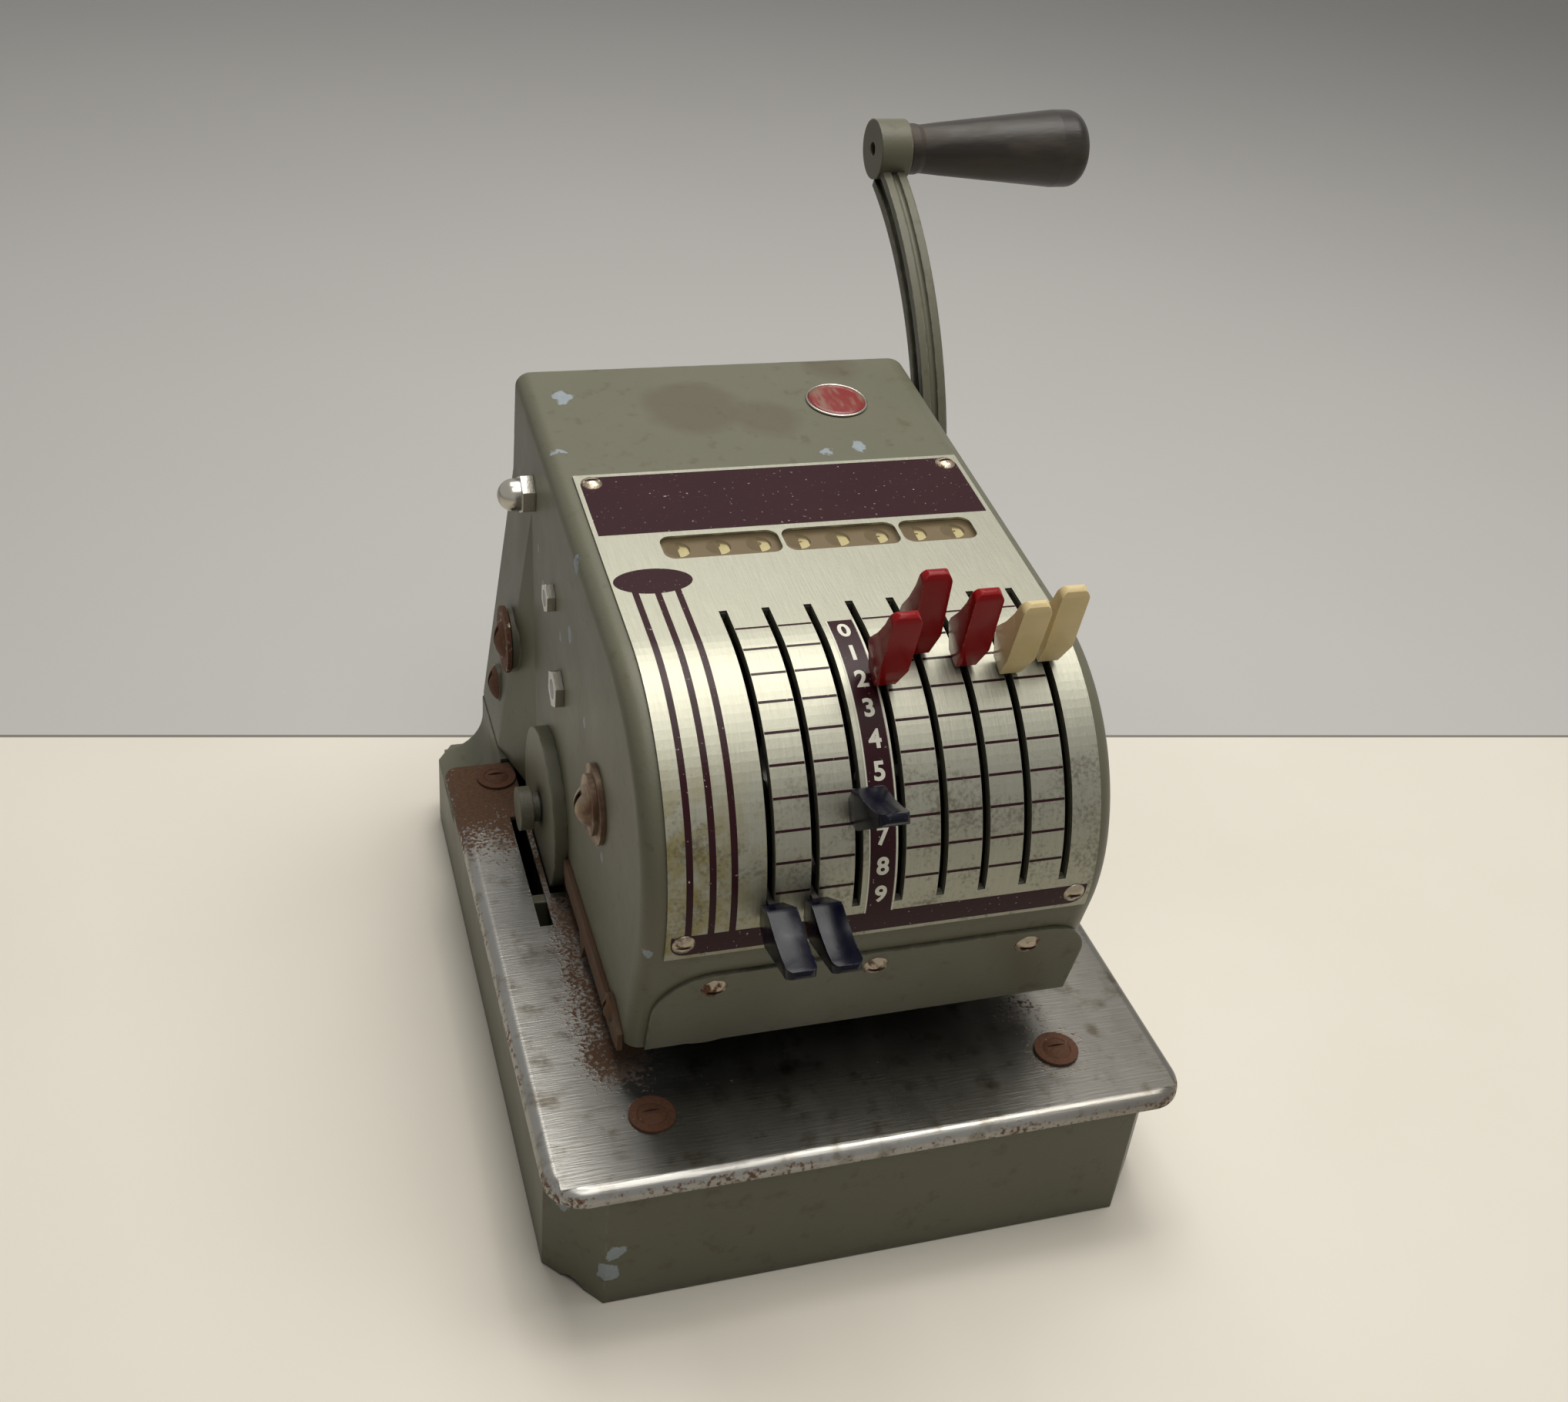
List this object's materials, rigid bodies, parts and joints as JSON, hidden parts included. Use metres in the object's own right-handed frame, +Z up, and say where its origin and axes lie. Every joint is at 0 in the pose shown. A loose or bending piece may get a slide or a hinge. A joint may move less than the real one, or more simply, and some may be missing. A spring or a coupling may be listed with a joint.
{
  "type": "check writer",
  "caption": "Desk check writer: finger levers set figures shown in windows, and a pulled side handle presses the check in the throat against the type.",
  "frame": {"origin": "on the desk under the lever shaft, midway across the head", "axes": "+Z up, front with the throat and the finger levers towards -Y, handle grip towards +X"},
  "size_m": [0.2572, 0.3139, 0.2617],
  "materials": {
    "paint": "old olive enamel, chipped at the edges",
    "table_chrome": "worn bright plating with rust at the edges",
    "steel": "plain turned and punched steel",
    "bright_screw": "nickel plated",
    "rusty_screw": "plated steel, rusty",
    "plate": "satin sheet, printed maroon",
    "iron": "raw casting",
    "bronze": "plain bearing bronze",
    "tab_blue": "glossy",
    "tab_red": "glossy",
    "tab_cream": "glossy, yellowed",
    "lens": "clear plastic window strip, dusty",
    "badge": "red enamel with a bright rim",
    "rubber": "matt resting pad",
    "grip": "turned and painted, worn",
    "ink_roll": "inked felt roll, taken as rubber",
    "drum": "indicator drum with pale figure discs"
  },
  "bodies": {
    "machine": {"base_casting": "paint", "bottom_plate": "steel", "base_pad": "rubber", "table_plate": "table_chrome", "table_screws": "rusty_screw", "head_housing": "paint", "front_lower_cover": "paint", "nameplate": "plate", "cover_screws": "rusty_screw", "window_lens": "lens", "badge": "badge", "rear_cover": "paint", "frame_left": "steel", "frame_right": "steel", "cross_rods": "steel", "acorn_nut": "bright_screw", "side_nuts": "bright_screw", "foot_screws": "rusty_screw", "lever_shaft": "steel", "shaft_screws": "bright_screw", "indicator_shaft": "steel", "detent_springs": "steel", "check_guide": "rusty_screw", "handle_bushes": "bronze", "return_spring": "steel", "press_pivot": "steel", "ink_cover": "paint"},
    "lever_1": {"lever_1": "steel", "tab_1": "tab_blue"},
    "drum_1": {"drum_1": "drum"},
    "lever_2": {"lever_2": "steel", "tab_2": "tab_blue"},
    "drum_2": {"drum_2": "drum"},
    "lever_3": {"lever_3": "steel", "tab_3": "tab_blue"},
    "drum_3": {"drum_3": "drum"},
    "lever_4": {"lever_4": "steel", "tab_4": "tab_red"},
    "drum_4": {"drum_4": "drum"},
    "lever_5": {"lever_5": "steel", "tab_5": "tab_red"},
    "drum_5": {"drum_5": "drum"},
    "lever_6": {"lever_6": "steel", "tab_6": "tab_red"},
    "drum_6": {"drum_6": "drum"},
    "lever_7": {"lever_7": "steel", "tab_7": "tab_cream"},
    "drum_7": {"drum_7": "drum"},
    "lever_8": {"lever_8": "steel", "tab_8": "tab_cream"},
    "drum_8": {"drum_8": "drum"},
    "handle": {"handle_shaft": "steel", "press_cam": "iron", "handle_arm": "paint", "handle_grip": "grip", "grip_spindle": "steel"},
    "push_rod": {"push_rod": "steel"},
    "press_lever": {"press_lever": "iron"},
    "platen": {"platen": "steel"},
    "ink_roll": {"ink_roll": "ink_roll"}
  },
  "joints": [
    {"name": "lever_1_turn", "type": "hinge", "parent": "machine", "child": "lever_1", "pos_m": [-0.03505, 0, 0.12], "axis": [1, 0, 0], "range_deg": [-86.67, 0]},
    {"name": "drum_1_turn", "type": "hinge", "parent": "machine", "child": "drum_1", "pos_m": [-0.0398, 0.0395, 0.16486], "axis": [1, 0, 0], "range_deg": [0, 327.29]},
    {"name": "lever_2_turn", "type": "hinge", "parent": "machine", "child": "lever_2", "pos_m": [-0.02235, 0, 0.12], "axis": [1, 0, 0], "range_deg": [-86.67, 0]},
    {"name": "drum_2_turn", "type": "hinge", "parent": "machine", "child": "drum_2", "pos_m": [-0.0271, 0.0395, 0.16486], "axis": [1, 0, 0], "range_deg": [0, 327.29]},
    {"name": "lever_3_turn", "type": "hinge", "parent": "machine", "child": "lever_3", "pos_m": [-0.00965, 0, 0.12], "axis": [1, 0, 0], "range_deg": [-60.67, 26]},
    {"name": "drum_3_turn", "type": "hinge", "parent": "machine", "child": "drum_3", "pos_m": [-0.0144, 0.0395, 0.16486], "axis": [1, 0, 0], "range_deg": [-98.2, 229.11]},
    {"name": "lever_4_turn", "type": "hinge", "parent": "machine", "child": "lever_4", "pos_m": [0.00305, 0, 0.12], "axis": [1, 0, 0], "range_deg": [-26, 60.67]},
    {"name": "drum_4_turn", "type": "hinge", "parent": "machine", "child": "drum_4", "pos_m": [-0.0017, 0.0395, 0.16486], "axis": [1, 0, 0], "range_deg": [-229.11, 98.2]},
    {"name": "lever_5_turn", "type": "hinge", "parent": "machine", "child": "lever_5", "pos_m": [0.01575, 0, 0.12], "axis": [1, 0, 0], "range_deg": [-17.33, 69.33]},
    {"name": "drum_5_turn", "type": "hinge", "parent": "machine", "child": "drum_5", "pos_m": [0.011, 0.0395, 0.16486], "axis": [1, 0, 0], "range_deg": [-261.84, 65.47]},
    {"name": "lever_6_turn", "type": "hinge", "parent": "machine", "child": "lever_6", "pos_m": [0.02845, 0, 0.12], "axis": [1, 0, 0], "range_deg": [-22.53, 64.13]},
    {"name": "drum_6_turn", "type": "hinge", "parent": "machine", "child": "drum_6", "pos_m": [0.0237, 0.0395, 0.16486], "axis": [1, 0, 0], "range_deg": [-242.2, 85.11]},
    {"name": "lever_7_turn", "type": "hinge", "parent": "machine", "child": "lever_7", "pos_m": [0.04115, 0, 0.12], "axis": [1, 0, 0], "range_deg": [-26, 60.67]},
    {"name": "drum_7_turn", "type": "hinge", "parent": "machine", "child": "drum_7", "pos_m": [0.0364, 0.0395, 0.16486], "axis": [1, 0, 0], "range_deg": [-229.11, 98.2]},
    {"name": "lever_8_turn", "type": "hinge", "parent": "machine", "child": "lever_8", "pos_m": [0.05385, 0, 0.12], "axis": [1, 0, 0], "range_deg": [-23.4, 63.27]},
    {"name": "drum_8_turn", "type": "hinge", "parent": "machine", "child": "drum_8", "pos_m": [0.0491, 0.0395, 0.16486], "axis": [1, 0, 0], "range_deg": [-238.93, 88.38]},
    {"name": "handle_pull", "type": "hinge", "parent": "machine", "child": "handle", "pos_m": [0.079, 0.124, 0.1004], "axis": [1, 0, 0], "range_deg": [0, 75], "stiffness_Nm_per_rad": 1, "springref_deg": -28.65},
    {"name": "push_rod_drop", "type": "slide", "parent": "machine", "child": "push_rod", "axis": [0, 0, -1], "range_m": [0, 0.0076]},
    {"name": "press_lever_rock", "type": "hinge", "parent": "machine", "child": "press_lever", "pos_m": [0.0094, 0.08, 0.024], "axis": [1, 0, 0], "range_deg": [-9.91, 0]},
    {"name": "platen_lift", "type": "slide", "parent": "machine", "child": "platen", "axis": [0, 0, 1], "range_m": [0, 0.01381]},
    {"name": "ink_roll_turn", "type": "hinge", "parent": "machine", "child": "ink_roll", "pos_m": [0, 0.067, 0.0684], "axis": [-1, 0, 0], "continuous": true}
  ],
  "couplings": [
    {"joint": "drum_1_turn", "follows": "lever_1_turn", "ratio": -3.7762},
    {"joint": "drum_2_turn", "follows": "lever_2_turn", "ratio": -3.7762},
    {"joint": "drum_3_turn", "follows": "lever_3_turn", "ratio": -3.7762},
    {"joint": "drum_4_turn", "follows": "lever_4_turn", "ratio": -3.7762},
    {"joint": "drum_5_turn", "follows": "lever_5_turn", "ratio": -3.7762},
    {"joint": "drum_6_turn", "follows": "lever_6_turn", "ratio": -3.7762},
    {"joint": "drum_7_turn", "follows": "lever_7_turn", "ratio": -3.7762},
    {"joint": "drum_8_turn", "follows": "lever_8_turn", "ratio": -3.7762},
    {"joint": "push_rod_drop", "follows": "handle_pull", "m_per_rad": 0.0057983},
    {"joint": "press_lever_rock", "follows": "handle_pull", "ratio": -0.13194},
    {"joint": "platen_lift", "follows": "handle_pull", "m_per_rad": 0.010542}
  ]
}
